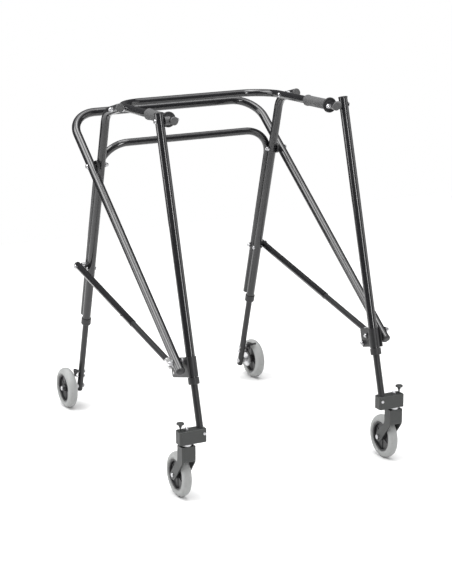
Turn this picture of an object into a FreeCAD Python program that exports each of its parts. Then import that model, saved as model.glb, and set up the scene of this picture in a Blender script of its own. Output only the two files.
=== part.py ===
"""Folding walking frame on four wheels: millimetres, +Z up, open side towards -Y, floor at z = 0."""

import FreeCAD, Part
import math
import os

Vector = FreeCAD.Vector

# Overall layout
overall_length = 963.7      # front of the caster blocks to the back of the rear wheels
side_x = 288.0              # centre plane of each front post
leg_x = side_x - 2.0        # centre plane of each rear leg
wheel_x = side_x + 43.0     # centre plane of the rear wheels
caster_x = side_x + 41.0    # centre plane of the front wheels and their swivels
post_lean = 0.292           # travel of the front post towards the rear, per mm of height
leg_lean = 0.293            # travel of the rear leg towards the front, per mm of height
axle_ahead = 3.0            # rear axle in front of the rear leg's axis
post_top = 1030.0           # height of the top of the front post
grip_height = 1011.0        # height of the handlebar at the front post

# Tubes
post_r = 12.7
post_wall = 2.0
inner_post_r = 9.6
leg_r = 12.7
leg_wall = 2.0
inner_leg_r = 9.3
inner_wall = 2.0
upper_frame_r = 12.7
arch_r = 11.1
bar_r = 11.1
bar_wall = 1.8
brace_outer_r = 10.2
brace_inner_r = 8.7
brace_wall = 1.5
slide_gap = 0.05            # radial clearance of a tube that slides
turn_gap = 0.05             # radial clearance of a shaft that turns
touch_gap = 0.4             # clearance between faces of different moving pieces
head_gap = 0.6              # clearance under a head whose tube turns
cut_past = 1.0              # how far a cutter runs past the face it leaves
washer_thick = 1.2

# Front posts and their brackets
post_bottom = 331.0         # height of the lower end of the outer post
post_button_z = 412.0       # height of the spring button on the post
bracket_z = 368.0           # height of the bracket's centre line at the post
bracket_reach = 98.0        # from the post's axis to the bracket's rear edge
bracket_height = 55.0
bracket_plate = 4.0
strut_pivot_back = 17.0     # strut pivot, behind the post's axis and above the bracket's centre line
strut_pivot_up = 17.0
brace_pivot_back = 62.0     # brace pivot, in the same directions
brace_pivot_up = 6.0
cross_spacer_r = 15.5
small_spacer_r = 10.0
stop_bolt_back = 88.0
stop_bolt_up = -15.0
collar_r = 15.6
collar_height = 19.0
collar_lap = 9.0            # collar above the end of the post
band_wall = 2.2             # bracket metal wrapped round the post
bracket_corner = 6.0
post_guide = 45.0           # bush inside the post
leg_guide = 40.0            # bush inside the rear leg
inner_post_top = 541.0

# Upper frame, which carries the struts
strut_rise = 0.727          # height gained per mm towards the rear
strut_stand_post = 5.4      # between the bracket plate and the strut
strut_stand_leg = 5.1       # between the rear leg and the strut
strut_end = 30.0            # tube beyond the strut pivot
upper_bar_reach = 217.0     # from the cross pivot to the upper frame's rear bar
upper_bend = 85.0
strut_cap_length = 7.0
strut_cap_rim = 0.8         # cap beyond the tube's skin

# Rear legs
leg_bottom = 292.0          # height of the lower end of the outer leg
inner_leg_bottom = 46.0
inner_leg_top = 415.0       # stays under the tie bolt when the leg is pushed right in
leg_bend = 60.0
leg_tie_z = 475.0           # height of the bolt through the rear leg beside the brace
leg_stub_rise = 0.277       # height gained per mm towards the front, at the top of the leg
handle_pivot_back = 305.0   # from the front post pivot to the leg pivot of the handlebar
leg_stub_end = 28.0         # leg tube beyond the handlebar pivot
rear_collar_r = 15.0
rear_collar_height = 21.0
rear_collar_drop = 8.0      # collar below the end of the leg
tie_head_r = 6.0
tie_head_height = 3.0

# Lower rear arch
arch_behind = 25.0          # arch axis behind the rear leg's axis, level
arch_in = 1.5               # arch leg nearer the middle than the rear leg
arch_top = 872.3
arch_bottom = 313.0
arch_bend = 88.0

# Handlebar
bar_x = side_x - 35.0
bar_rise = 0.038            # height gained per mm towards the front
bar_length = 409.0          # from the front post pivot to the rear bar
bar_bend = 92.0
bar_nose = 17.0             # tube in front of the front post pivot
grip_length = 128.0
grip_r = 15.0
grip_back = 23.0            # from the front post pivot to the back of the hand stop
stop_disc_thick = 6.0
bead_length = 9.0
bead_rise = 1.6
grip_pad = 20.0             # grip cut through past each of its ends
post_spacer_r = 11.5

# Brace
brace_pivot_z = 480.0       # height of the brace's pivot on the lower rear arch
brace_outer_length = 415.7  # from that pivot to the open end
brace_overlap = 95.0        # inner tube inside the outer tube
brace_tail = 12.0           # outer tube beyond its pivot
button_back = 62.0          # from the open end to the button
fork_length = 34.0
fork_thick = 3.0
fork_eye_r = 9.0
fork_collar = 8.0
fork_spigot = 14.0
fork_half_web = 8.0
fork_skin = 0.8
fork_offset = 1.6           # inner cheek set out from the bracket plate
fork_slot_in = 2.4          # inner face of the slot, towards the tube's axis
fork_slot_r = 13.0

# Fasteners
bolt_r = 4.0
head_r = 7.0
head_height = 4.0
nut_r = 7.2
nut_height = 6.0
dome_r = 5.6
button_r = 3.4
button_rise = 2.6
washer_r = 9.0
plug_depth = 12.0
plug_rim = 4.0
plug_over = 0.9             # plug beyond the tube's skin

# Caster block, swivel and wheel
wheel_r = 63.5
tyre_width = 28.0
rear_tyre_width = 31.0
rim_r = 44.0
rim_wall = 4.5
rim_width = 22.0
hub_r = 12.0
rear_hub_width = 31.0
tyre_shoulder = 10.0
web_thick = 4.0
spoke_count = 6
spoke_thick = 5.0
trail = 49.0
fork_top = 163.0
fork_shoulder = 118.0       # height where the fork starts to rake back
fork_half_depth = 15.0
fork_knee_r = 22.0
block_bottom = 170.0
block_height = 37.5
block_half_depth = 17.0
block_inner_x = side_x - 14.0
block_outer_x = side_x + 67.0
block_screw_x = side_x - 6.0
block_screw_head = 2.2
leg_seat = 16.0             # end of the inner leg above the block's underside
caster_half_width = 20.5
caster_plate = 3.5
caster_crown = 7.0
race_r = 15.0
kingpin_r = 5.0
axle_r = 4.0
axle_float = 1.5            # between the rear hub and the axle's head
axle_head = 3.0
axle_spacer_r = 8.0
knob_x = side_x + 58.5
knob_r = 10.5
knob_height = 23.5          # top of the knob above the block

# Rear wheel brake ratchet
gear_r = 24.0
gear_thick = 4.0
gear_teeth = 20
gear_tooth = 3.0
gear_x = side_x + 20.0
pawl_thick = 4.0
pawl_stand = 6.0            # pawl bolts' ends outside the inner leg
pawl_hinge_r = 6.0
pawl_pad_r = 3.5
pawl_pad_lap = 6.0          # pad over the tyre
pawl_bolt_r = 3.0
pawl_bolt_head_r = 5.5
pawl_bolt_up = 50.0         # above the axle
guard_bolt_up = 34.0

# Directions and places worked out from the layout
post_dir = Vector(0, post_lean, 1).normalize()
post_back = Vector(0, 1, -post_lean).normalize()
leg_dir = Vector(0, -leg_lean, 1).normalize()
bar_dir = Vector(0, -1, bar_rise).normalize()
strut_dir = Vector(0, 1, strut_rise).normalize()
stub_dir = Vector(0, -1, leg_stub_rise).normalize()
up = Vector(0, 0, 1)
block_top = block_bottom + block_height
swivel_y = block_half_depth + block_screw_head - overall_length / 2
rear_axle_y = overall_length / 2 - wheel_r
hub_width = 2 * (caster_half_width - caster_plate - touch_gap)
plate_x = side_x + post_r + 1.5
plate_out = plate_x + bracket_plate
brace_x = plate_out + brace_outer_r + head_gap
strut_x_at_post = plate_out + strut_stand_post + upper_frame_r
strut_x_at_leg = leg_x + leg_r + strut_stand_leg + upper_frame_r
stop_disc_r = side_x - post_r - bar_x - touch_gap
arch_x = leg_x - arch_in
pawl_face = leg_x + inner_leg_r + pawl_stand


def post_point(z):
    return Vector(0, swivel_y + post_lean * (z - block_top), z)


def leg_point(z):
    return Vector(0, rear_axle_y + axle_ahead - leg_lean * (z - wheel_r), z)


def arch_point(z):
    return leg_point(z) + Vector(0, arch_behind, 0)


def bracket_point(back, up):
    return post_point(bracket_z) + post_back * back + post_dir * up


def crossing(point_a, dir_a, point_b, dir_b):
    """Where two lines cross in the side view."""
    gap = point_b - point_a
    turn = dir_a.y * dir_b.z - dir_a.z * dir_b.y
    along = (gap.y * dir_b.z - gap.z * dir_b.y) / turn
    return point_a + dir_a * along


post_pivot = post_point(grip_height)
handle_pivot = post_pivot - bar_dir * handle_pivot_back
strut_pivot = bracket_point(strut_pivot_back, strut_pivot_up)
brace_front = bracket_point(brace_pivot_back, brace_pivot_up)
stop_bolt = bracket_point(stop_bolt_back, stop_bolt_up)
cross_pivot = crossing(strut_pivot, strut_dir, leg_point(0), leg_dir)
brace_rear = arch_point(brace_pivot_z)
leg_tie = leg_point(leg_tie_z)
post_button = post_point(post_button_z)
rear_axle = Vector(0, rear_axle_y, wheel_r)
caster_axle = Vector(0, swivel_y + trail, wheel_r)
pawl_bolt = leg_point(wheel_r + pawl_bolt_up)
guard_bolt = leg_point(wheel_r + guard_bolt_up)
leg_knee = crossing(handle_pivot, stub_dir, leg_point(0), leg_dir)
brace_span = (brace_front - brace_rear).Length
brace_dir = (brace_front - brace_rear).normalize()
strut_spread = (strut_x_at_post - strut_x_at_leg) / (cross_pivot - strut_pivot).Length


def at(x, point):
    """A side-view point moved sideways to x."""
    return Vector(x, point.y, point.z)


def mirrored(shape):
    return shape.mirror(Vector(0, 0, 0), Vector(1, 0, 0))


def on_side(shape, side):
    """A shape drawn on the +X side, moved to the side named."""
    return shape if side == "left" else mirrored(shape)


def both(shape):
    return [shape, mirrored(shape)]


def save(name, *shapes):
    group = shapes[0] if len(shapes) == 1 else Part.makeCompound(list(shapes))
    group.exportStep("parts/" + name + ".step")


def rod(start, end, radius):
    axis = end - start
    return Part.makeCylinder(radius, axis.Length, start, axis)


def rod_x(x_from, x_to, point, radius):
    return rod(at(x_from, point), at(x_to, point), radius)


def bent_path(corners, bends):
    """A wire of straight runs, with a round bend of its own radius at each corner between the ends."""
    edges = []
    start = corners[0]
    for corner, after, bend in zip(corners[1:-1], corners[2:], bends):
        into = (corner - start).normalize()
        out = (after - corner).normalize()
        half = into.getAngle(out) / 2
        leave = corner - into * bend * math.tan(half)
        join = corner + out * bend * math.tan(half)
        bulge = (out - into).normalize()
        middle = corner + bulge * bend * (1 / math.cos(half) - 1)
        edges.append(Part.LineSegment(start, leave).toShape())
        edges.append(Part.Arc(leave, middle, join).toShape())
        start = join
    edges.append(Part.LineSegment(start, corners[-1]).toShape())
    return Part.Wire(edges)


def swept(corners, bends, radius):
    path = bent_path(corners, bends)
    profile = Part.Wire(Part.makeCircle(radius, corners[0], corners[1] - corners[0]))
    return path.makePipeShell([profile], True, False)


def bent_tube(corners, bends, radius, wall):
    return swept(corners, bends, radius).cut(swept(corners, bends, radius - wall))


def straight_tube(start, end, radius, wall):
    return rod(start, end, radius).cut(rod(start, end, radius - wall))


def drilled(shape, *holes):
    for x_from, x_to, point, radius in holes:
        shape = shape.cut(rod_x(x_from, x_to, point, radius))
    return shape


def drilled_both(shape, *holes):
    """The same holes on both sides."""
    for x_from, x_to, point, radius in holes:
        hole = rod_x(x_from, x_to, point, radius)
        shape = shape.cut(hole).cut(mirrored(hole))
    return shape


def plug(end, out, radius, rim_r, depth, rim):
    """A tube plug: a rim with a round edge, and a stem that fills the tube's end."""
    disc = rod(end, end + out * rim, rim_r)
    outer_edge = max(disc.Edges, key=lambda e: (e.CenterOfMass - end).dot(out))
    return disc.makeFillet(rim * 0.6, [outer_edge]).fuse(rod(end - out * depth, end, radius))


def hexagon(x_from, x_to, point, across_corners):
    ring = [Vector(x_from, point.y + across_corners * math.cos(math.radians(60 * k)),
                   point.z + across_corners * math.sin(math.radians(60 * k))) for k in range(7)]
    return Part.Face(Part.makePolygon(ring)).extrude(Vector(x_to - x_from, 0, 0))


def button_head(x_face, side, point, radius=head_r, height=head_height):
    """A round fastener head standing on a face, towards side."""
    disc = rod_x(x_face, x_face + side * height, point, radius)
    rim = max(disc.Edges, key=lambda e: e.CenterOfMass.x * side)
    return disc.makeFillet(height * 0.7, [rim])


def dome_nut(x_face, side, point):
    """A hexagon nut with a domed end, standing on a face, towards side."""
    flat = hexagon(x_face, x_face + side * nut_height, point, nut_r)
    dome = Part.makeSphere(dome_r, at(x_face + side * nut_height, point))
    keep = rod_x(x_face + side * nut_height / 2, x_face + side * (nut_height + dome_r + 1), point, nut_r * 2)
    return flat.fuse(dome.common(keep))


def cross_bolt(x_head, x_nut, point):
    """A bolt and its dome nut, clamping from one face to the other."""
    out = 1 if x_nut > x_head else -1
    bolt = button_head(x_head, -out, point).fuse(rod_x(x_head, x_nut + out * nut_height / 2, point, bolt_r))
    nut = dome_nut(x_nut, out, point)
    return bolt, nut.cut(rod_x(x_head, x_nut + out * nut_height / 2, point, bolt_r))


def revolved_x(profile, point):
    """A ring turned about an axle along X; profile lists (x, radius) corners."""
    corners = [Vector(x, point.y + radius, point.z) for x, radius in profile]
    face = Part.Face(Part.makePolygon(corners + corners[:1]))
    return face.revolve(at(0, point), Vector(1, 0, 0), 360)


def rear_leg_corners():
    top = handle_pivot + stub_dir * leg_stub_end
    return [at(leg_x, leg_point(leg_bottom)), at(leg_x, leg_knee), at(leg_x, top)]


def make_rear_legs():
    top = rear_leg_corners()[-1]
    for side in ("left", "right"):
        leg = bent_tube(rear_leg_corners(), [leg_bend], leg_r, leg_wall)
        low = leg_x - leg_r - cut_past
        high = leg_x + leg_r + cut_past
        leg = drilled(leg, *[(low, high, spot, bolt_r) for spot in (handle_pivot, cross_pivot, leg_tie)])
        save("rear_leg_" + side, on_side(leg, side))
    cap = plug(top, stub_dir, leg_r - leg_wall, leg_r, plug_depth, plug_rim)
    save("rear_leg_plugs", *both(cap))


def make_rear_collars():
    """Plastic bushes in the mouths of the rear legs, which guide the inner legs."""
    mouth = at(leg_x, leg_point(leg_bottom))
    foot = mouth - leg_dir * rear_collar_drop
    skirt = rod(foot, foot + leg_dir * rear_collar_height, rear_collar_r)
    skirt = skirt.cut(rod(mouth, mouth + leg_dir * rear_collar_height, leg_r))
    lower = min(skirt.Edges, key=lambda e: (e.CenterOfMass - mouth).dot(leg_dir))
    skirt = skirt.makeFillet(2.5, [lower])
    sleeve = rod(mouth - leg_dir, mouth + leg_dir * leg_guide, leg_r - leg_wall)
    bush = skirt.fuse(sleeve)
    bore = rod(mouth - leg_dir * leg_guide, mouth + leg_dir * 2 * leg_guide, inner_leg_r + slide_gap)
    save("rear_leg_collars", *both(bush.cut(bore)))


def make_lower_arch():
    foot = arch_point(arch_bottom)
    head = arch_point(arch_top)
    corners = [at(arch_x, foot), at(arch_x, head), at(-arch_x, head), at(-arch_x, foot)]
    arch = bent_tube(corners, [arch_bend, arch_bend], arch_r, bar_wall)
    reach = arch_r + cut_past
    save("lower_rear_arch", drilled_both(arch, (arch_x - reach, arch_x + reach, brace_rear, bolt_r)))


def make_rear_fasteners():
    """The bolts of the handlebar, cross and brace pivots, and the tie in each rear leg."""
    handle = cross_bolt(bar_x - bar_r - head_gap, leg_x + leg_r, handle_pivot)
    cross = cross_bolt(strut_x_at_leg + upper_frame_r + head_gap, leg_x - leg_r, cross_pivot)
    brace = cross_bolt(brace_x + brace_outer_r + head_gap, arch_x - arch_r, brace_rear)
    tie = rod_x(leg_x - leg_r, leg_x + leg_r, leg_tie, bolt_r)
    for side in (1, -1):
        tie = tie.fuse(button_head(leg_x + side * leg_r, side, leg_tie, tie_head_r, tie_head_height))
    solids = []
    for piece in list(handle) + list(cross) + list(brace) + [tie]:
        solids += both(piece)
    save("rear_frame_bolts", *solids)


def saddle(x_from, x_to, spot, radius, tube):
    """A plastic spacer round a pivot bolt, hollowed to sit on a tube."""
    ring = rod_x(x_from, x_to, spot, radius).cut(tube)
    return largest(ring.cut(rod_x(x_from - cut_past, x_to + cut_past, spot, bolt_r)))


def make_pivot_spacers():
    leg = swept(rear_leg_corners(), [leg_bend], leg_r)
    start = arch_x + arch_r + touch_gap
    cross = saddle(start, strut_x_at_leg - upper_frame_r - touch_gap, cross_pivot, cross_spacer_r, leg)
    save("cross_pivot_spacers", *both(cross))
    arch = rod(at(arch_x, arch_point(arch_bottom)), at(arch_x, arch_point(arch_top)), arch_r)
    end = brace_x - brace_outer_r - touch_gap
    brace = saddle(arch_x + arch_r / 2, end, brace_rear, small_spacer_r, arch)
    handle = saddle(bar_x + bar_r + touch_gap, leg_x - leg_r / 2, handle_pivot, small_spacer_r, leg)
    save("side_spacers", *both(brace), *both(handle))


def largest(shape):
    return max(shape.Solids, key=lambda s: s.Volume)


def strut_x(along):
    """Sideways place of the strut, at a distance behind its front pivot."""
    return strut_x_at_post - strut_spread * along


def make_upper_frame():
    span = (cross_pivot - strut_pivot).Length
    front = strut_pivot - strut_dir * strut_end
    back = cross_pivot + strut_dir * upper_bar_reach
    x_front = strut_x(-strut_end)
    x_back = strut_x(span + upper_bar_reach)
    corners = [at(x_front, front), at(x_back, back), at(-x_back, back), at(-x_front, front)]
    frame = bent_tube(corners, [upper_bend, upper_bend], upper_frame_r, post_wall)
    reach = upper_frame_r + 2 * cut_past
    frame = drilled_both(frame,
                         (strut_x_at_leg - reach, strut_x_at_leg + reach, cross_pivot, bolt_r + turn_gap),
                         (strut_x_at_post - reach, strut_x_at_post + reach, strut_pivot, bolt_r + turn_gap))
    save("upper_frame", frame)
    out = (at(x_front, front) - at(x_back, back)).normalize()
    cap = rod(at(x_front, front), at(x_front, front) + out * strut_cap_length,
              upper_frame_r + strut_cap_rim)
    rim = max(cap.Edges, key=lambda e: (e.CenterOfMass - at(x_front, front)).dot(out))
    cap = cap.makeFillet(strut_cap_length * 0.85, [rim])
    cap = cap.fuse(rod(at(x_front, front) - out * plug_depth, at(x_front, front), upper_frame_r - post_wall))
    save("strut_caps", *both(cap))


def make_handlebar():
    nose = post_pivot + bar_dir * bar_nose
    back = post_pivot - bar_dir * bar_length
    corners = [at(bar_x, nose), at(bar_x, back), at(-bar_x, back), at(-bar_x, nose)]
    bar = bent_tube(corners, [bar_bend, bar_bend], bar_r, bar_wall)
    reach = bar_r + 2 * cut_past
    bar = drilled_both(bar, (bar_x - reach, bar_x + reach, handle_pivot, bolt_r + turn_gap),
                       (bar_x - reach, bar_x + reach, post_pivot, bolt_r))
    save("handlebar", bar)
    cap = plug(at(bar_x, nose), bar_dir, bar_r - bar_wall, bar_r + plug_over, plug_depth, plug_rim)
    save("handlebar_plugs", *both(cap))
    end = side_x - post_r - touch_gap
    outside = rod(at(bar_x, nose), at(bar_x, back), bar_r)
    save("post_pivot_spacers", *both(saddle(bar_x + bar_r / 2, end, post_pivot, post_spacer_r, outside)))
    shank = rod_x(bar_x - bar_r - nut_height / 2, end, post_pivot, bolt_r)
    nut = dome_nut(bar_x - bar_r, -1, post_pivot).cut(shank)
    save("post_pivot_bolts", *both(shank), *both(nut))


def make_grips():
    """Soft grips with a round hand stop at the front."""
    front = post_pivot - bar_dir * grip_back
    back = front - bar_dir * grip_length
    body = rod(at(bar_x, front), at(bar_x, back), grip_r)
    stop = rod(at(bar_x, front + bar_dir * stop_disc_thick), at(bar_x, front), stop_disc_r)
    stop = stop.makeFillet(stop_disc_thick * 0.35, stop.Edges[0:1] + stop.Edges[2:3])
    bead = rod(at(bar_x, back), at(bar_x, back + bar_dir * bead_length), grip_r + bead_rise)
    bead = bead.makeFillet(2.5, bead.Edges[0:1] + bead.Edges[2:3])
    hole = rod(at(bar_x, front + bar_dir * grip_pad), at(bar_x, back - bar_dir * grip_pad), bar_r)
    for side in ("left", "right"):
        save("grip_" + side, on_side(body.fuse(stop).fuse(bead).cut(hole).removeSplitter(), side))


def make_front_posts():
    foot = at(side_x, post_point(post_bottom))
    top = at(side_x, post_point(post_top))
    for side in ("left", "right"):
        post = straight_tube(foot, top, post_r, post_wall)
        post = post.cut(rod(at(side_x, post_button), at(side_x, post_button) + post_back * post_r * 2,
                            button_r + slide_gap))
        save("front_post_" + side, on_side(post, side))
    cap = plug(top, post_dir, post_r - post_wall, post_r + plug_over, plug_depth, plug_rim)
    save("post_caps", *both(cap))


def make_post_collars():
    """Plastic bushes on the lower ends of the posts, which guide the inner legs."""
    foot = at(side_x, post_point(post_bottom))
    skirt = rod(foot - post_dir * (collar_height - collar_lap), foot + post_dir * collar_lap, collar_r)
    skirt = skirt.cut(rod(foot, foot + post_dir * collar_height, post_r))
    lower = min(skirt.Edges, key=lambda e: (e.CenterOfMass - foot).dot(post_dir))
    skirt = skirt.makeFillet(2.0, [lower])
    sleeve = rod(foot - post_dir, foot + post_dir * post_guide, post_r - post_wall)
    bore = rod(foot - post_dir * post_guide, foot + post_dir * 2 * post_guide, inner_post_r + slide_gap)
    bush = skirt.fuse(sleeve).cut(bore)
    save("post_collars", *both(bush))


def bracket_outline(x, back_from, back_to, up_from, up_to):
    corners = ((back_from, up_from), (back_to, up_from), (back_to, up_to), (back_from, up_to))
    ring = [at(x, bracket_point(back, up)) for back, up in corners]
    return Part.Face(Part.makePolygon(ring + ring[:1]))


def make_brackets():
    """A plate on the outer face of each post, with a band that wraps the post."""
    half = bracket_height / 2
    plate = bracket_outline(plate_x, -post_r, bracket_reach, -half, half)
    plate = plate.extrude(Vector(bracket_plate, 0, 0))
    corners = [e for e in plate.Edges if abs(e.tangentAt(e.FirstParameter).x) > 0.99]
    rear = [e for e in corners if (e.CenterOfMass - bracket_point(0, 0)).dot(post_back) > bracket_reach / 2]
    plate = plate.makeFillet(bracket_corner, rear)
    low = max(-half, (post_bottom - bracket_z) / post_dir.z + collar_lap + touch_gap)
    foot = at(side_x, bracket_point(0, low))
    head = at(side_x, bracket_point(0, half))
    band = rod(foot, head, post_r + band_wall)
    bridge = bracket_outline(side_x, -post_r * 0.7, post_r * 0.7, low, half)
    band = band.fuse(bridge.extrude(Vector(plate_x - side_x + 0.5, 0, 0)))
    body = band.fuse(plate).cut(rod(foot - post_dir * bracket_height, head + post_dir * cut_past, post_r))
    body = drilled(body, (side_x, wheel_x, strut_pivot, bolt_r), (side_x, wheel_x, brace_front, bolt_r),
                   (side_x, wheel_x, stop_bolt, bolt_r))
    body = body.cut(rod_x(side_x, plate_x, strut_pivot, head_r + touch_gap))
    for side in ("left", "right"):
        save("post_bracket_" + side, on_side(largest(body), side))


def make_post_bolts():
    """The strut pivot bolt and the bolts set in each bracket, and the bolt head near the post's top."""
    strut_face = strut_x_at_post + upper_frame_r + touch_gap + washer_thick
    low_head = rod_x(plate_x - 3, plate_x, strut_pivot, head_r)
    strut_bolt = low_head.fuse(rod_x(plate_x - 3, strut_face + nut_height / 2, strut_pivot, bolt_r))
    strut_nut = dome_nut(strut_face, 1, strut_pivot).cut(strut_bolt)
    washer = rod_x(strut_face - washer_thick, strut_face, strut_pivot, washer_r).cut(strut_bolt)
    spacer = rod_x(plate_out, strut_x_at_post - upper_frame_r - touch_gap, strut_pivot, small_spacer_r)
    brace_nut = dome_nut(plate_x, -1, brace_front).fuse(rod_x(plate_x - 1, plate_out, brace_front, bolt_r))
    stop = dome_nut(plate_x, -1, stop_bolt).fuse(rod_x(plate_x - 1, plate_out, stop_bolt, bolt_r))
    head = button_head(side_x + post_r, 1, post_pivot)
    pieces = [strut_bolt, strut_nut, washer, spacer.cut(strut_bolt), brace_nut, stop, head]
    save("post_bolts", *[solid for piece in pieces for solid in both(piece)])


def button_shape(base, out, skin_r):
    """A spring button in a tube wall: a stem in the hole and a domed head outside it."""
    low = base + out * (skin_r - brace_wall + slide_gap + 1.5)
    high = base + out * (skin_r + button_rise)
    stem = rod(low, high, button_r)
    rim = max(stem.Edges, key=lambda e: (e.CenterOfMass - base).dot(out))
    return stem.makeFillet(button_rise * 0.8, [rim])


def make_buttons():
    spot = brace_rear + brace_dir * (brace_outer_length - button_back)
    for side in ("left", "right"):
        brace_button = button_shape(at(brace_x, spot), Vector(1, 0, 0), brace_outer_r)
        save("brace_button_" + side, on_side(brace_button, side))
        post_stud = button_shape(at(side_x, post_button), post_back, post_r)
        save("post_button_" + side, on_side(post_stud, side))


def make_brace():
    tail = brace_rear - brace_dir * brace_tail
    mouth = brace_rear + brace_dir * brace_outer_length
    outer = straight_tube(at(brace_x, tail), at(brace_x, mouth), brace_outer_r, brace_wall - slide_gap)
    spot = brace_rear + brace_dir * (brace_outer_length - button_back)
    outer = drilled(outer, (brace_x - 15, brace_x + 15, brace_rear, bolt_r + turn_gap),
                    (brace_x, brace_x + 15, spot, button_r + slide_gap))
    tip = brace_front - brace_dir * fork_length
    inner = straight_tube(at(brace_x, mouth - brace_dir * brace_overlap), at(brace_x, tip), brace_inner_r,
                          brace_wall)
    for side in ("left", "right"):
        save("brace_outer_" + side, on_side(outer, side))
        save("brace_inner_" + side, on_side(inner, side))
    make_brace_forks(tip)


def make_brace_forks(tip):
    """Zinc end pieces: a spigot in the inner tube and two cheeks on the pivot bolt."""
    shoulder = at(brace_x, tip + brace_dir * fork_collar)
    spigot = rod(at(brace_x, tip - brace_dir * fork_spigot), shoulder, brace_inner_r - brace_wall)
    collar = rod(at(brace_x, tip), shoulder, brace_inner_r + fork_skin)
    half = brace_inner_r + fork_thick
    slot_in = brace_x - brace_inner_r + fork_slot_in
    slot_out = brace_x + brace_inner_r - fork_skin
    cheek_out = rod_x(slot_out, brace_x + half, brace_front, fork_eye_r)
    cheek_in = rod_x(brace_x - half + fork_offset, slot_in, brace_front, fork_eye_r)
    side_up = Vector(0, -brace_dir.z, brace_dir.y)
    start = tip + brace_dir * fork_collar / 2
    lift = side_up * fork_half_web
    corners = (start + lift, brace_front + lift, brace_front - lift, start - lift)
    ring = [at(brace_x - half + fork_offset, p) for p in corners]
    web = Part.Face(Part.makePolygon(ring + ring[:1])).extrude(Vector(2 * half - fork_offset, 0, 0))
    slot = rod_x(slot_in, slot_out, brace_front, fork_slot_r)
    fork = collar.fuse(web).cut(slot).fuse(cheek_out).fuse(cheek_in).fuse(spigot)
    fork = largest(fork.cut(rod_x(plate_out, brace_x + 2 * half, brace_front, bolt_r)).removeSplitter())
    pin = rod_x(plate_out + touch_gap, brace_x + half, brace_front, bolt_r)
    pin = pin.fuse(button_head(brace_x + half, 1, brace_front, head_r - 0.5, head_height - 0.5))
    save("brace_forks", *both(fork), *both(pin))


def block_screw_hole():
    front = Vector(block_screw_x, swivel_y - block_half_depth, block_bottom + block_height * 0.65)
    return rod(front, front + Vector(0, 2 * block_half_depth - 4, 0), 2.5), front


def make_inner_legs():
    low = at(side_x, post_point(block_bottom + leg_seat))
    high = at(side_x, post_point(inner_post_top))
    leg = straight_tube(low, high, inner_post_r, inner_wall).cut(block_screw_hole()[0])
    for side in ("left", "right"):
        save("front_inner_leg_" + side, on_side(leg, side))


def make_caster_block():
    """The block that carries the swivel outside the post."""
    size = Vector(block_outer_x - block_inner_x, 2 * block_half_depth, block_height)
    corner = Vector(block_inner_x, swivel_y - block_half_depth, block_bottom)
    block = Part.makeBox(size.x, size.y, size.z, corner)
    upright = [e for e in block.Edges if abs(e.tangentAt(e.FirstParameter).z) > 0.99]
    block = block.makeFillet(7, upright)
    top = [e for e in block.Edges if e.BoundBox.ZMin > block_bottom + block_height - 0.1]
    block = block.makeFillet(2, top)
    seat = at(side_x, post_point(block_bottom + leg_seat))
    block = block.cut(rod(seat, seat + post_dir * 3 * block_height, inner_post_r))
    for x, radius in ((caster_x, kingpin_r + turn_gap), (knob_x, 2.5 + turn_gap)):
        foot = Vector(x, swivel_y, block_bottom - 1)
        block = block.cut(rod(foot, foot + up * (block_height + 2), radius))
    return block.cut(block_screw_hole()[0])


def make_caster_bolts():
    """The kingpin with its dome nut and washer, the upper bearing race, and the screw that holds the leg."""
    king = Vector(caster_x, swivel_y, 0)
    crown_under = fork_top - caster_crown
    pin = rod(king + up * (crown_under - 5), king + up * (block_top + 3), kingpin_r)
    pin = pin.fuse(rod(king + up * (crown_under - 5), king + up * (crown_under - touch_gap), 8))
    corners = [king + up * block_top + Vector(nut_r * math.cos(math.radians(60 * k)),
                                              nut_r * math.sin(math.radians(60 * k)), 0) for k in range(7)]
    nut = Part.Face(Part.makePolygon(corners)).extrude(up * 4)
    nut = nut.fuse(Part.makeSphere(dome_r, king + up * (block_top + 3)).common(
        rod(king + up * (block_top + 1), king + up * (block_top + 20), 12)))
    race = rod(king + up * (fork_top + touch_gap), king + up * block_bottom, race_r)
    race = race.makeFillet(1.2, [min(race.Edges, key=lambda e: e.CenterOfMass.z)]).cut(pin)
    shank, front = block_screw_hole()
    screw = rod(front - Vector(0, block_screw_head, 0), front, 4.2)
    screw = screw.makeFillet(1.4, [min(screw.Edges, key=lambda e: e.CenterOfMass.y)])
    return [pin, nut.cut(pin), race, screw.fuse(shank)]


def caster_outline():
    """Side view of the caster fork's plates: an upright part, then a rake back to the axle."""
    eye = 13.0
    front = -fork_half_depth
    points = [(front, fork_top), (front, fork_shoulder), (trail - eye * 1.35, wheel_r - 4),
              (trail - eye * 0.6, wheel_r - eye), (trail + eye * 0.6, wheel_r - eye), (trail + eye, wheel_r),
              (trail + eye * 0.5, wheel_r + eye), (fork_half_depth, fork_shoulder),
              (fork_half_depth, fork_top), (front, fork_top)]
    return [Vector(caster_x - caster_half_width, swivel_y + y, z) for y, z in points]


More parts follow.
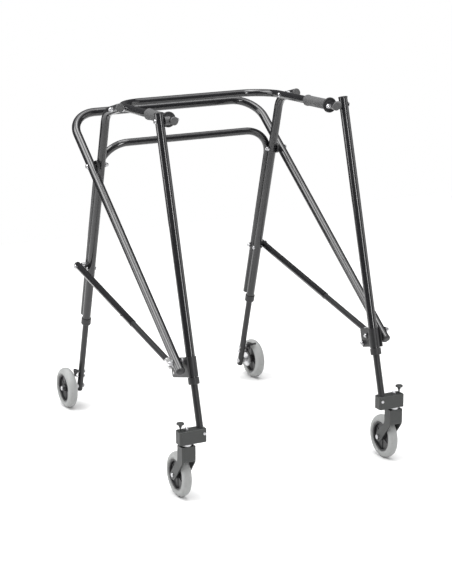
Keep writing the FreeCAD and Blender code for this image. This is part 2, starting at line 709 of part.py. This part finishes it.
def make_caster_forks():
    body = Part.Face(Part.makePolygon(caster_outline())).extrude(Vector(2 * caster_half_width, 0, 0))
    across = [e for e in body.Edges if abs(e.tangentAt(e.FirstParameter).x) > 0.99]
    body = body.makeFillet(4, [e for e in across if e.CenterOfMass.z < fork_shoulder - 1])
    knees = [e for e in body.Edges if abs(e.tangentAt(e.FirstParameter).x) > 0.99
             and abs(e.CenterOfMass.z - fork_shoulder) < 0.1]
    body = body.makeFillet(fork_knee_r, knees)
    inside = 2 * (caster_half_width - caster_plate)
    side = caster_x - inside / 2
    front = swivel_y - fork_half_depth
    tunnel = Part.makeBox(inside, trail * 4, fork_top - caster_crown, Vector(side, front + caster_plate, 0))
    below = Part.makeBox(inside, trail * 4, fork_shoulder, Vector(side, front - 1, 0))
    room = Part.makeCylinder(wheel_r + 5, inside, at(side, caster_axle), Vector(1, 0, 0))
    body = body.cut(room).cut(below).cut(tunnel)
    king = Vector(caster_x, swivel_y, 0)
    body = body.cut(rod(king + up * fork_shoulder, king + up * block_top, kingpin_r + turn_gap))
    return largest(drilled(body, (caster_x - 40, caster_x + 40, caster_axle, axle_r)))


def make_axle():
    """The caster axle: a bolt through both fork plates, with a nut."""
    inner = caster_x - caster_half_width
    outer = caster_x + caster_half_width
    bolt = button_head(outer, 1, caster_axle, 6.5, 3.2).fuse(rod_x(inner - 4, outer, caster_axle, axle_r))
    nut = hexagon(inner, inner - 4, caster_axle, nut_r).cut(bolt)
    return [bolt, nut]


def make_tyre(x, width, axle):
    half = width / 2
    tyre = revolved_x([(x - half, rim_r), (x + half, rim_r), (x + half, wheel_r), (x - half, wheel_r)], axle)
    crowns = [e for e in tyre.Edges if abs(e.BoundBox.ZLength - 2 * wheel_r) < 0.5]
    return tyre.makeFillet(min(tyre_shoulder, half * 0.9, (wheel_r - rim_r) * 0.9), crowns)


def make_hub(x, width, axle):
    """A spoked hub: rim ring, web, spokes and boss."""
    half = rim_width / 2
    hub = revolved_x([(x - half, rim_r - rim_wall), (x + half, rim_r - rim_wall), (x + half, rim_r),
                      (x - half, rim_r)], axle)
    hub = hub.fuse(rod_x(x - web_thick / 2, x + web_thick / 2, axle, rim_r - 1))
    hub = hub.fuse(rod_x(x - width / 2, x + width / 2, axle, hub_r))
    for k in range(spoke_count):
        spoke = Part.makeBox(rim_width - 6, spoke_thick, rim_r - 3,
                             Vector(x - half + 3, axle.y - spoke_thick / 2, axle.z + 2))
        spoke.rotate(at(x, axle), Vector(1, 0, 0), 360.0 * k / spoke_count)
        hub = hub.fuse(spoke)
    return hub.cut(rod_x(x - width, x + width, axle, axle_r + turn_gap)).removeSplitter()


def make_knob():
    """The swivel lock's pull knob: a pin in the block, a cone and a round cap."""
    foot = Vector(knob_x, swivel_y, block_bottom + 4)
    top = block_top + knob_height
    knob = rod(foot, Vector(knob_x, swivel_y, top - 12), 2.5)
    knob = knob.fuse(Part.makeCone(4, 5.5, 9, Vector(knob_x, swivel_y, top - 13), up))
    cap = rod(Vector(knob_x, swivel_y, top - 5), Vector(knob_x, swivel_y, top), knob_r)
    return knob.fuse(cap.makeFillet(2.2, [max(cap.Edges, key=lambda e: e.CenterOfMass.z)]))


def make_casters():
    pieces = {"caster_block_": make_caster_block(), "caster_fork_": make_caster_forks(),
              "front_tyre_": make_tyre(caster_x, tyre_width, caster_axle),
              "front_hub_": make_hub(caster_x, hub_width, caster_axle), "lock_knob_": make_knob()}
    for side in ("left", "right"):
        for name, piece in pieces.items():
            save(name + side, on_side(piece, side))
        save("caster_bolts_" + side, *[on_side(piece, side) for piece in make_caster_bolts()])
        save("caster_axle_" + side, *[on_side(piece, side) for piece in make_axle()])


def make_rear_inner_legs():
    low = at(leg_x, leg_point(inner_leg_bottom))
    high = at(leg_x, leg_point(inner_leg_top))
    leg = rod(low, high, inner_leg_r).cut(rod(low + leg_dir * 12, high, inner_leg_r - inner_wall))
    leg = leg.makeFillet(3.5, [min(leg.Edges, key=lambda e: e.CenterOfMass.z)])
    leg = drilled(leg, (leg_x - leg_r, leg_x + leg_r, rear_axle, axle_r),
                  (leg_x - leg_r, leg_x + leg_r, pawl_bolt, pawl_bolt_r),
                  (leg_x - leg_r, leg_x + leg_r, guard_bolt, pawl_bolt_r))
    for side in ("left", "right"):
        save("rear_inner_leg_" + side, on_side(leg, side))


def make_rear_bolts():
    """The stub axle with its head on the inner face, and the two bolts of the pawl."""
    inner = leg_x - inner_leg_r
    outer = wheel_x + rear_hub_width / 2 + axle_float
    axle = button_head(inner, -1, rear_axle).fuse(rod_x(inner, outer, rear_axle, axle_r))
    pieces = [axle.fuse(button_head(outer, 1, rear_axle, head_r, axle_head))]
    for spot in (pawl_bolt, guard_bolt):
        shank = rod_x(inner, pawl_face - touch_gap, spot, pawl_bolt_r)
        bolt = button_head(inner, -1, spot, pawl_bolt_head_r).fuse(shank)
        pieces.append(bolt)
    gear_face = gear_x - gear_thick / 2
    spacer = rod_x(leg_x + inner_leg_r + touch_gap, gear_face - touch_gap, rear_axle, axle_spacer_r)
    pieces.append(spacer.cut(rod_x(0, wheel_x, rear_axle, axle_r)))
    return pieces


def make_ratchet():
    """A toothed ring on the inner face of the hub."""
    ring = []
    step = 2 * math.pi / gear_teeth
    for k in range(gear_teeth):
        for share, radius in ((0.0, gear_r - gear_tooth), (0.85, gear_r)):
            angle = (k + share) * step
            ring.append(Vector(gear_x - gear_thick / 2, rear_axle_y + radius * math.cos(angle),
                               wheel_r + radius * math.sin(angle)))
    gear = Part.Face(Part.makePolygon(ring + ring[:1])).extrude(Vector(gear_thick, 0, 0))
    neck = rod_x(gear_x + gear_thick / 2, wheel_x - rear_hub_width / 2, rear_axle, hub_r)
    return gear.fuse(neck).cut(rod_x(0, wheel_x, rear_axle, axle_r + turn_gap))


def make_pawl():
    """The lever above the gear: it turns on the upper bolt, and its nose drops towards the teeth."""
    points = [(8, 6), (2, 12), (-26, 16), (-30, 12), (-28, 8), (-8, 2), (-9, -10), (-6, -12), (2, -8)]
    ring = [Vector(gear_x - pawl_thick / 2, pawl_bolt.y + y, pawl_bolt.z + z) for y, z in points]
    body = Part.Face(Part.makePolygon(ring + ring[:1])).extrude(Vector(pawl_thick, 0, 0))
    pad_end = wheel_x - rear_tyre_width / 2 + pawl_pad_lap
    pad = rod_x(gear_x - pawl_thick / 2, pad_end, pawl_bolt + Vector(0, -26, 12), pawl_pad_r)
    hinge = rod_x(pawl_face - touch_gap, gear_x - pawl_thick / 2, pawl_bolt, pawl_hinge_r)
    return body.fuse(pad).fuse(hinge)


def make_rear_wheels():
    pieces = {"rear_tyre_": make_tyre(wheel_x, rear_tyre_width, rear_axle),
              "rear_hub_": make_hub(wheel_x, rear_hub_width, rear_axle),
              "ratchet_gear_": make_ratchet(), "pawl_": make_pawl()}
    for side in ("left", "right"):
        for name, piece in pieces.items():
            save(name + side, on_side(piece, side))
        save("rear_bolts_" + side, *[on_side(piece, side) for piece in make_rear_bolts()])


os.makedirs("parts", exist_ok=True)
make_rear_legs()
make_rear_collars()
make_lower_arch()
make_rear_fasteners()
make_pivot_spacers()
make_upper_frame()
make_handlebar()
make_grips()
make_front_posts()
make_post_collars()
make_brackets()
make_post_bolts()
make_buttons()
make_brace()
make_inner_legs()
make_casters()
make_rear_inner_legs()
make_rear_wheels()
for name, point in (("cross_pivot", cross_pivot), ("handle_pivot", handle_pivot), ("post_pivot", post_pivot),
                    ("strut_pivot", strut_pivot), ("brace_front", brace_front), ("brace_rear", brace_rear)):
    print(name, round(point.y, 3), round(point.z, 3))
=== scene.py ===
import bpy
import bmesh
import math
from mathutils import Matrix, Vector


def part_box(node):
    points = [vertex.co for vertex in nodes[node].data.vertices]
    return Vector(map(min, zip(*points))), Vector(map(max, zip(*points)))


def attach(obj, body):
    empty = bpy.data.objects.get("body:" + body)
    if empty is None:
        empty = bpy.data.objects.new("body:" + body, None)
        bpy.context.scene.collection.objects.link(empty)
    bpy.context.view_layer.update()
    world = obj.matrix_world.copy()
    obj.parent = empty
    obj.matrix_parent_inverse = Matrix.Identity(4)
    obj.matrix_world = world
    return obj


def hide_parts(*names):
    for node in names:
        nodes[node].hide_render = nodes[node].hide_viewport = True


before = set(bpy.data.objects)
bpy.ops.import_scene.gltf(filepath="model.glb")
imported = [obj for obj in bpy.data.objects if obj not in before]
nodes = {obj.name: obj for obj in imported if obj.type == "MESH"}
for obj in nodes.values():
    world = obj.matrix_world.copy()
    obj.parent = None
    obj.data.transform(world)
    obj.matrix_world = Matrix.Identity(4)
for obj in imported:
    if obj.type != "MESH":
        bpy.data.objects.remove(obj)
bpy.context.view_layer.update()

sides = (("left", 1), ("right", -1))
print("frame loaded:", len(nodes), "nodes")


class Wire:  # one socket, with the maths a shader needs
    def __init__(self, tree, socket):
        self.tree = tree
        self.socket = socket

    def math(self, operation, *values):
        node = self.tree.nodes.new("ShaderNodeMath")
        node.operation = operation
        for port, value in zip(node.inputs, values):
            plugIn(self.tree, port, value)
        return Wire(self.tree, node.outputs[0])

    def __add__(self, other):
        return self.math("ADD", self, other)

    def __radd__(self, other):
        return self.math("ADD", other, self)

    def __sub__(self, other):
        return self.math("SUBTRACT", self, other)

    def __rsub__(self, other):
        return self.math("SUBTRACT", other, self)

    def __mul__(self, other):
        return self.math("MULTIPLY", self, other)

    def __rmul__(self, other):
        return self.math("MULTIPLY", other, self)

    def band(self, low, high):  # 0 below low, 1 above high, smooth between
        node = self.tree.nodes.new("ShaderNodeMapRange")
        node.interpolation_type = "SMOOTHSTEP"
        plugIn(self.tree, node.inputs["Value"], self)
        node.inputs["From Min"].default_value = low
        node.inputs["From Max"].default_value = high
        return Wire(self.tree, node.outputs["Result"])


def plugIn(tree, port, value):
    if isinstance(value, Wire):
        tree.links.new(value.socket, port)
    elif isinstance(value, (tuple, list)) and len(value) == 3 and port.type == "RGBA":
        port.default_value = (*value, 1)
    else:
        port.default_value = value


class Finish:  # one material and the nodes that make it
    def __init__(self, name):
        self.material = bpy.data.materials.new(name)
        self.material.use_nodes = True
        self.tree = self.material.node_tree
        self.shader = self.tree.nodes["Principled BSDF"]
        self.place = self.node("TexCoord", {}, {}, "Object")

    def node(self, kind, settings, inputs, output=0):
        made = self.tree.nodes.new("ShaderNode" + kind)
        for key, value in settings.items():
            setattr(made, key, value)
        for key, value in inputs.items():
            plugIn(self.tree, made.inputs[key], value)
        return Wire(self.tree, made.outputs[output])

    def noise(self, scale, detail=3.0, rough=0.55, at=None):
        return self.node("TexNoise", {}, {"Vector": at or self.place, "Scale": scale, "Detail": detail,
                                          "Roughness": rough})

    def stretched(self, factors, at=None):  # object coordinates scaled unevenly, for grain that runs one way
        return self.node("Mapping", {}, {"Vector": at or self.place, "Scale": factors})

    def turned(self, angle, factors):  # the same, turned about X first, to follow a leaning tube
        turn = self.node("Mapping", {}, {"Vector": self.place, "Rotation": (angle, 0, 0)})
        return self.stretched(factors, turn)

    def blendColour(self, share, low, high):
        made = self.tree.nodes.new("ShaderNodeMix")
        made.data_type = "RGBA"
        plugIn(self.tree, made.inputs[0], share)
        plugIn(self.tree, made.inputs[6], low)
        plugIn(self.tree, made.inputs[7], high)
        return Wire(self.tree, made.outputs[2])

    def bump(self, height, strength, distance, under=None):
        inputs = {"Height": height, "Strength": strength, "Distance": distance}
        if under:
            inputs["Normal"] = under
        return self.node("Bump", {}, inputs)

    def surface(self, fixed, **linked):
        for key, value in fixed.items():
            self.shader.inputs[key].default_value = value
        for key, value in linked.items():
            plugIn(self.tree, self.shader.inputs[key.replace("_", " ")], value)
        return self.material


glossCoat = {"low": (0.0075, 0.0075, 0.0085), "high": (0.017, 0.017, 0.0185), "chip": (0.10, 0.10, 0.105),
             "rough": 0.12, "smudge": 0.05, "peelScale": 180.0, "peel": 0.012,
             "gloss": {"Coat Weight": 0.25, "Coat Roughness": 0.04, "Specular IOR Level": 0.5}}


def makeGlossCoat():
    f = Finish("glossPowderCoat")
    cloud = f.noise(9.0, 2.0)
    smudge = f.noise(12.0, 2.0, 0.5)
    chips = f.noise(210.0, 2.0, 0.5).band(0.79, 0.81)
    tone = f.blendColour(cloud, glossCoat["low"], glossCoat["high"])
    tone = f.blendColour(chips * 0.35, tone, glossCoat["chip"])
    peel = f.noise(glossCoat["peelScale"], 1.0, 0.4)
    normal = f.bump(peel, glossCoat["peel"], 0.0002)
    rough = glossCoat["rough"] + smudge.band(0.35, 0.75) * glossCoat["smudge"] + chips * 0.10
    return f.surface(glossCoat["gloss"], Base_Color=tone, Roughness=rough, Normal=normal)


slideTube = {"low": (0.011, 0.011, 0.012), "high": (0.024, 0.024, 0.025), "rub": (0.075, 0.075, 0.078),
             "rough": 0.26, "grain": (260.0, 260.0, 5.0)}


def makeSlideTube(name, lean):  # satin tube with long rub marks where it slides
    f = Finish(name)
    grain = f.noise(1.0, 4.0, 0.6, f.turned(lean, slideTube["grain"]))
    cloud = f.noise(14.0, 3.0)
    rubs = grain.band(0.60, 0.74) * cloud.band(0.42, 0.62)
    tone = f.blendColour(cloud, slideTube["low"], slideTube["high"])
    tone = f.blendColour(rubs * 0.55, tone, slideTube["rub"])
    normal = f.bump(grain, 0.08, 0.0003)
    rough = slideTube["rough"] + cloud * 0.12 - rubs * 0.05
    return f.surface({"Specular IOR Level": 0.4}, Base_Color=tone, Roughness=rough, Metallic=rubs * 0.5,
                     Normal=normal)


mouldings = {  # name, darker and lighter tone, roughness, grain scale, grain strength
    "plastic": ("blackMoulding", (0.011, 0.011, 0.012), (0.021, 0.021, 0.022), 0.36, 1400.0, 0.12),
    "block": ("casterMoulding", (0.024, 0.026, 0.025), (0.036, 0.038, 0.037), 0.40, 1100.0, 0.16),
    "plug": ("greyPlugMoulding", (0.060, 0.060, 0.061), (0.085, 0.085, 0.086), 0.46, 1400.0, 0.12),
    "stop": ("handStopRubber", (0.010, 0.010, 0.011), (0.018, 0.018, 0.019), 0.50, 900.0, 0.18),
    "hub": ("hubMoulding", (0.012, 0.012, 0.013), (0.024, 0.024, 0.025), 0.30, 1400.0, 0.12),
    "bracket": ("bracketPaint", (0.008, 0.008, 0.009), (0.015, 0.015, 0.016), 0.34, 600.0, 0.06),
}


def makeMoulding(name, low, high, rough, grainScale, lift):
    f = Finish(name)
    cloud = f.noise(22.0, 4.0)
    grain = f.noise(grainScale, 2.0, 0.5)
    scuff = f.noise(1.0, 4.0, 0.6, f.stretched((300.0, 60.0, 90.0))).band(0.66, 0.74)
    tone = f.blendColour(cloud, low, high)
    tone = f.blendColour(scuff * 0.35, tone, tuple(min(1.0, c * 2.2 + 0.02) for c in high))
    normal = f.bump(grain, lift, 0.0003)
    rough = rough + cloud * 0.14 + scuff * 0.06
    return f.surface({"IOR": 1.48}, Base_Color=tone, Roughness=rough, Normal=normal)


metals = {  # name, darker and lighter tone, roughness, how the brushing stretches
    "zinc": ("zincPlate", (0.40, 0.40, 0.41), (0.56, 0.56, 0.57), 0.26, (900.0, 900.0, 900.0)),
    "paleZinc": ("paleZincCasting", (0.56, 0.56, 0.56), (0.72, 0.72, 0.72), 0.36, (500.0, 500.0, 500.0)),
    "steel": ("ratchetSteel", (0.50, 0.50, 0.51), (0.68, 0.68, 0.69), 0.26, (80.0, 900.0, 900.0)),
}


def makeMetal(name, low, high, rough, brushed):
    f = Finish(name)
    cloud = f.noise(60.0, 4.0, 0.6)
    spots = f.noise(700.0, 3.0, 0.6).band(0.58, 0.72)
    lines = f.noise(1.0, 3.0, 0.6, f.stretched(brushed))
    tone = f.blendColour(cloud, low, high)
    tone = f.blendColour(spots * 0.25, tone, tuple(c * 0.55 for c in low))
    normal = f.bump(lines, 0.10, 0.0002)
    rough = rough + cloud * 0.12 + spots * 0.12
    return f.surface({}, Base_Color=tone, Roughness=rough, Metallic=1.0 - spots * 0.15, Normal=normal)


tyreRubber = {"low": (0.255, 0.26, 0.257), "high": (0.315, 0.32, 0.316), "dirt": (0.17, 0.169, 0.163),
              "rough": 0.52}


def makeTyreRubber():
    f = Finish("paleTyreRubber")
    cloud = f.noise(26.0, 5.0, 0.6)
    dust = f.noise(120.0, 4.0, 0.65).band(0.52, 0.78)
    streak = f.noise(1.0, 3.0, 0.5, f.stretched((520.0, 40.0, 40.0)))
    tone = f.blendColour(cloud, tyreRubber["low"], tyreRubber["high"])
    tone = f.blendColour(dust * 0.35, tone, tyreRubber["dirt"])
    grain = f.noise(1700.0, 2.0, 0.5)
    normal = f.bump(streak, 0.10, 0.0004, f.bump(grain, 0.14, 0.0003))
    rough = tyreRubber["rough"] + dust * 0.2
    return f.surface({"IOR": 1.5}, Base_Color=tone, Roughness=rough, Normal=normal)


# the shine colour is a painted sheen, blended onto the worn patches of the grip
gripRubber = {"low": (0.052, 0.052, 0.053), "high": (0.078, 0.078, 0.079), "paintedSheen": (0.105, 0.105, 0.105),
              "rough": 0.68}


def makeGripRubber():
    f = Finish("gripRubber")
    cloud = f.noise(45.0, 4.0, 0.6)
    pores = f.noise(1500.0, 2.0, 0.6)
    cells = f.node("TexVoronoi", {}, {"Vector": f.place, "Scale": 420.0})
    # worn patches: real wear lowers the roughness there, and the lighter colour blended in there is a painted
    # sheen
    wornAndSheen = f.noise(18.0, 2.0).band(0.5, 0.72)
    tone = f.blendColour(cloud, gripRubber["low"], gripRubber["high"])
    tone = f.blendColour(wornAndSheen * 0.4, tone, gripRubber["paintedSheen"])
    normal = f.bump(cells, 0.30, 0.0004, f.bump(pores, 0.2, 0.0003))
    rough = gripRubber["rough"] - wornAndSheen * 0.16
    return f.surface({"IOR": 1.5}, Base_Color=tone, Roughness=rough, Normal=normal)


tubeLean = {"front": math.atan(0.292), "rear": -math.atan(0.293), "brace": math.radians(80)}
finishes = {
    "coat": makeGlossCoat(),
    "frontSlide": makeSlideTube("satinTubeFront", tubeLean["front"]),
    "rearSlide": makeSlideTube("satinTubeRear", tubeLean["rear"]),
    "braceSlide": makeSlideTube("satinTubeBrace", tubeLean["brace"]),
    "tyre": makeTyreRubber(),
    "grip": makeGripRubber(),
}
for key, values in mouldings.items():
    finishes[key] = makeMoulding(*values)
for key, values in metals.items():
    finishes[key] = makeMetal(*values)
print("finishes made:", len(finishes))

wornBy = {  # the frame's nodes that wear each finish, without their side
    "coat": ("rear_leg", "upper_frame", "handlebar", "lower_rear_arch", "front_post", "brace_outer"),
    "frontSlide": ("front_inner_leg",),
    "rearSlide": ("rear_inner_leg",),
    "braceSlide": ("brace_inner",),
    "plug": ("rear_leg_plugs", "handlebar_plugs", "post_pivot_spacers", "brace_button"),
    "plastic": ("strut_caps", "post_caps", "post_collars", "rear_leg_collars", "cross_pivot_spacers", "pawl"),
    "block": ("caster_block", "caster_fork", "lock_knob"),
    "bracket": ("post_bracket",),
    "zinc": ("rear_frame_bolts", "post_bolts", "post_pivot_bolts", "side_spacers", "post_button",
             "caster_bolts", "caster_axle", "rear_bolts"),
    "paleZinc": ("brace_forks",),
    "steel": ("ratchet_gear",),
    "tyre": ("front_tyre", "rear_tyre"),
    "hub": ("front_hub", "rear_hub"),
    "grip": ("grip",),
}
nodeFinish = {stem: finish for finish, stems in wornBy.items() for stem in stems}

for name, node in nodes.items():
    stem = name if name in nodeFinish else name.rsplit("_", 1)[0]
    node.data.materials.clear()
    node.data.materials.append(finishes[nodeFinish[stem]])
print("frame nodes finished")


def keepPiece(name, bm, finish, body, replaced=(), angle=40.0):
    bmesh.ops.remove_doubles(bm, verts=bm.verts, dist=1e-6)
    bmesh.ops.recalc_face_normals(bm, faces=bm.faces)
    mesh = bpy.data.meshes.new(name)
    for face in bm.faces:
        face.smooth = True
    for edge in bm.edges:
        if len(edge.link_faces) == 2 and edge.calc_face_angle(0.0) > math.radians(angle):
            edge.smooth = False
    bm.to_mesh(mesh)
    bm.free()
    mesh.materials.append(finishes[finish])
    piece = bpy.data.objects.new(name, mesh)
    bpy.context.scene.collection.objects.link(piece)
    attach(piece, body)
    if replaced:
        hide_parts(*replaced)
    return piece


def spunRing(bm, profile, steps):  # closed (x, radius) outline turned about the X axis
    start = [bm.verts.new((x, 0, r)) for x, r in profile]
    edges = [bm.edges.new((a, b)) for a, b in zip(start, start[1:] + start[:1])]
    bmesh.ops.spin(bm, geom=start + edges, cent=(0, 0, 0), axis=(1, 0, 0), dvec=(0, 0, 0),
                   angle=math.tau, steps=steps, use_merge=True)


def bothEnds(right):  # half an outline, and its mirror back to the start
    return list(right) + [(-x, r) for x, r in reversed(right)]


def moveTo(bm, matrix):
    bmesh.ops.transform(bm, matrix=matrix, verts=bm.verts)


tyre = {"radius": 0.0635, "seat": 0.0440, "widest": 0.0500, "groove": 0.0009, "steps": 96,
        "frontWidth": 0.028, "rearWidth": 0.031}


def buildTyre(name, centre, width, body, node):
    h = width / 2
    radius, seat, widest, groove = tyre["radius"], tyre["seat"], tyre["widest"], tyre["groove"]
    wall = [(h * 0.84, seat), (h * 0.93, seat + 0.0010), (h * 0.93 - groove, seat + 0.0022),
            (h * 0.95 - groove, seat + 0.0028), (h * 0.985, seat + 0.0036), (h, widest)]
    shoulder = [(h * 0.985, widest + 0.0024), (h * 0.935, widest + 0.0050), (h * 0.855, widest + 0.0073),
                (h * 0.74, widest + 0.0094), (h * 0.60, widest + 0.0111), (h * 0.44, widest + 0.0123)]
    tread = [(h * 0.27, radius - 0.0004), (h * 0.11, radius), (h * 0.045, radius),
             (h * 0.02, radius - 0.0003)]
    bm = bmesh.new()
    spunRing(bm, bothEnds(wall + shoulder + tread), tyre["steps"])
    moveTo(bm, Matrix.Translation(centre))
    keepPiece(name, bm, "tyre", body, (node,), 50.0)


hub = {"rim": 0.0438, "rimIn": 0.0385, "halfRim": 0.0112, "web": 0.0045, "steps": 72,
       "boss": 0.0115, "bossEnd": 0.0100, "bossHalf": 0.0060, "bossCorner": 0.0012, "bore": 0.0045,
       "bossSteps": 48, "frontHalf": 0.0160, "rearHalf": 0.0154,
       "spokes": 6, "spokeWide": 0.0056, "spokeDeep": 0.0128, "spokeRound": 0.0011, "intoBoss": 0.0010,
       "intoRim": 0.0020}


def buildHub(name, centre, half, body, node):
    bm = bmesh.new()
    edge, rim, rimIn = hub["halfRim"], hub["rim"], hub["rimIn"]
    ring = [(edge - 0.0012, rimIn), (edge, rimIn + 0.0014), (edge, rim - 0.0012), (edge - 0.0010, rim)]
    spunRing(bm, bothEnds(ring), hub["steps"])
    spunRing(bm, bothEnds([(hub["web"], hub["bossEnd"]), (hub["web"], rimIn + 0.0004)]), hub["steps"])
    end, corner = hub["bossEnd"], hub["bossCorner"]
    boss = [(half, hub["bore"]), (half, end - corner), (half - corner, end), (hub["bossHalf"], hub["boss"])]
    spunRing(bm, bothEnds(boss), hub["bossSteps"])
    foot = hub["boss"] - hub["intoBoss"]
    reach = rimIn + hub["intoRim"] - foot
    for k in range(hub["spokes"]):
        made = bmesh.ops.create_cube(bm, size=1.0)
        size = Matrix.Diagonal((hub["spokeDeep"], hub["spokeWide"], reach, 1))
        up = Matrix.Translation((0, 0, foot + reach / 2))
        turn = Matrix.Rotation(math.tau * k / hub["spokes"], 4, "X")
        bmesh.ops.transform(bm, matrix=turn @ up @ size, verts=made["verts"])
        edges = list({e for v in made["verts"] for e in v.link_edges})
        bmesh.ops.bevel(bm, geom=edges, offset=hub["spokeRound"], segments=2, profile=0.5, affect="EDGES",
                        material=-1)
    moveTo(bm, Matrix.Translation(centre))
    keepPiece(name, bm, "hub", body, (node,), 35.0)


for side in ("left", "right"):
    for end in ("front", "rear"):
        low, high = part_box(end + "_tyre_" + side)
        centre = (low + high) / 2
        body = end + "_wheel_" + side
        buildTyre(end + "Tyre_" + side, centre, tyre[end + "Width"], body, end + "_tyre_" + side)
        buildHub(end + "Hub_" + side, centre, hub[end + "Half"], body, end + "_hub_" + side)
print("wheels built")

grip = {"radius": 0.0150, "bore": 0.01115, "length": 0.128, "back": 0.023, "ribs": 22, "rib": 0.0005,
        "ribsStart": 0.010, "ribsEnd": 0.014, "bead": 0.0164, "steps": 56}
handStop = {"radius": 0.0218, "thick": 0.0060, "steps": 64}
barDir = Vector((0, -1, 0.038)).normalized()
postPivot = Vector((0.253, -0.228028, 1.011))


def buildSleeve(side, place):
    bore, radius, bead, rear = grip["bore"], grip["radius"], grip["bead"], -grip["length"]
    outline = [(-0.0003, bore), (-0.0003, radius - 0.0006)]
    pitch = (grip["length"] - grip["ribsStart"] - grip["ribsEnd"]) / grip["ribs"]
    for k in range(grip["ribs"]):
        x = -grip["ribsStart"] - k * pitch
        outline += [(x, radius - 0.0001), (x - pitch * 0.35, radius), (x - pitch * 0.62, radius - 0.0001),
                    (x - pitch * 0.8, radius - grip["rib"])]
    outline += [(rear + 0.0105, radius), (rear + 0.0088, bead - 0.0006), (rear + 0.0065, bead),
                (rear + 0.0028, bead), (rear + 0.0009, bead - 0.0009), (rear + 0.0002, bead - 0.0024),
                (rear + 0.0002, bore)]
    bm = bmesh.new()
    spunRing(bm, outline, grip["steps"])
    moveTo(bm, place)
    keepPiece("gripSleeve_" + side, bm, "grip", "handlebar", ("grip_" + side,), 60.0)


def buildHandStop(side, place):  # flat disc at the front of the grip, with a shallow dish
    bore, radius, thick = grip["bore"], handStop["radius"], handStop["thick"]
    outline = [(0.0, bore), (0.0, radius - 0.0022), (0.0006, radius - 0.0007), (0.0020, radius),
               (thick - 0.0018, radius), (thick - 0.0006, radius - 0.0008), (thick - 0.0001, radius - 0.0024),
               (thick - 0.0009, 0.0165), (thick - 0.0009, 0.0135), (thick - 0.0001, 0.0128),
               (thick - 0.0001, bore)]
    bm = bmesh.new()
    spunRing(bm, outline, handStop["steps"])
    moveTo(bm, place)
    keepPiece("handStop_" + side, bm, "stop", "handlebar", (), 50.0)


for side, sign in sides:
    start = Vector((sign * postPivot.x, postPivot.y, postPivot.z)) - barDir * grip["back"]
    gripPlace = Matrix.Translation(start) @ barDir.to_track_quat("X", "Z").to_matrix().to_4x4()
    buildSleeve(side, gripPlace)
    buildHandStop(side, gripPlace)
print("grips built")


studio = {"sky": 0.12, "sun": 2.7, "sunAngle": 80.0, "floor": 2.5, "floorLow": (0.78, 0.78, 0.78),
          "floorHigh": (0.80, 0.80, 0.80)}


def buildStage():
    bm = bmesh.new()
    bmesh.ops.create_grid(bm, x_segments=1, y_segments=1, size=studio["floor"])
    mesh = bpy.data.meshes.new("studioFloor")
    bm.to_mesh(mesh)
    bm.free()
    f = Finish("paleFloor")
    cloud = f.noise(0.6, 3.0)
    tone = f.blendColour(cloud, studio["floorLow"], studio["floorHigh"])
    rough = 0.8 + cloud * 0.1
    mesh.materials.append(f.surface({"Specular IOR Level": 0.1}, Base_Color=tone, Roughness=rough))
    floor = bpy.data.objects.new("studioFloor", mesh)
    bpy.context.scene.collection.objects.link(floor)


lamps = {
    "bankLeft": {"place": (-2.1, 0.5, 3.0), "aim": (0.0, 0.0, 0.55), "size": (2.4, 1.7), "power": 80.0},
    "bankTop": {"place": (0.25, -0.1, 3.75), "aim": (0.25, 0.5, 0.0), "size": (1.3, 2.4), "power": 62.0},
    "stripRight": {"place": (0.25, -3.3, 1.75), "aim": (0.0, 0.0, 0.6), "size": (0.55, 1.6), "power": 36.0},
    "wallRight": {"place": (3.0, -1.5, 1.2), "aim": (0.0, 0.0, 0.6), "size": (2.6, 2.2), "power": 29.0},
    "windowLeft": {"place": (-3.1, 0.9, 1.25), "aim": (0.0, 0.0, 0.9), "size": (1.6, 1.3), "power": 36.0},
}


def buildLamps():
    for name, lamp in lamps.items():
        light = bpy.data.lights.new(name, "AREA")
        light.shape = "RECTANGLE"
        light.size, light.size_y = lamp["size"]
        light.energy = lamp["power"]
        holder = bpy.data.objects.new(name, light)
        holder.location = lamp["place"]
        beam = Vector(lamp["aim"]) - Vector(lamp["place"])
        holder.rotation_euler = beam.to_track_quat("-Z", "Y").to_euler()
        holder.visible_camera = False
        bpy.context.scene.collection.objects.link(holder)
    overhead = bpy.data.lights.new("overheadDome", "SUN")  # even light over the whole floor
    overhead.energy = studio["sun"]
    overhead.angle = math.radians(studio["sunAngle"])
    bpy.context.scene.collection.objects.link(bpy.data.objects.new("overheadDome", overhead))
    world = bpy.data.worlds.new("studioWorld")
    world.use_nodes = True
    sky = world.node_tree.nodes["Background"]
    sky.inputs["Color"].default_value = (1, 1, 1, 1)
    path = world.node_tree.nodes.new("ShaderNodeLightPath")
    seen = Wire(world.node_tree, path.outputs["Is Camera Ray"])
    plugIn(world.node_tree, sky.inputs["Strength"], studio["sky"] + seen * (1.0 - studio["sky"]))
    bpy.context.scene.world = world


lens = {"place": (-2.204, -4.4727, 1.831), "turn": -26.49, "rise": 15.58, "roll": -0.28, "length": 107.1,
        "shift": (-0.0007, -0.0017)}


def buildCamera():
    camera = bpy.data.cameras.new("studioCamera")
    camera.sensor_width = 36.0
    camera.lens = lens["length"]
    camera.shift_x, camera.shift_y = lens["shift"]
    camera.clip_end = 100.0
    holder = bpy.data.objects.new("studioCamera", camera)
    turn = Matrix.Rotation(math.radians(lens["turn"]), 3, "Z")
    turn = turn @ Matrix.Rotation(math.radians(90 - lens["rise"]), 3, "X")
    holder.rotation_euler = (turn @ Matrix.Rotation(math.radians(lens["roll"]), 3, "Z")).to_euler()
    holder.location = lens["place"]
    bpy.context.scene.collection.objects.link(holder)
    bpy.context.scene.camera = holder


buildStage()
buildLamps()
buildCamera()
bpy.context.scene.view_settings.view_transform = "Standard"
print("stage ready")
